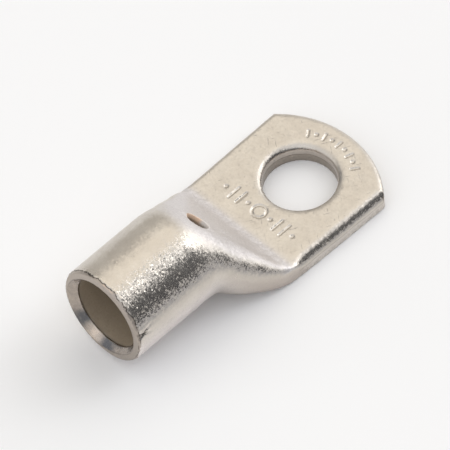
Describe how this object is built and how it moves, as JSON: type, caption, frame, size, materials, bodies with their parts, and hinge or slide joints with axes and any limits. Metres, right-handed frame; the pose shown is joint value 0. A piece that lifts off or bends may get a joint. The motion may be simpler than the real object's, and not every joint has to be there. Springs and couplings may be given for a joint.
{
  "type": "cable lug",
  "caption": "One-piece tubular ring lug: round crimp barrel with a chamfered mouth, pressed shoulder and flat palm with a stud hole.",
  "frame": {"origin": "on the stud hole's axis, on the palm's contact face", "axes": "+X from the barrel's mouth towards the palm's tip, along the lug's length; +Z out of the contact face, along the stud hole, towards the pressed face"},
  "size_m": [0.0381, 0.017, 0.0126],
  "materials": {
    "tinned_copper": "matt tin plate over copper, grainy on the barrel"
  },
  "bodies": {
    "root": {"cable_lug": "tinned_copper"}
  },
  "joints": []
}
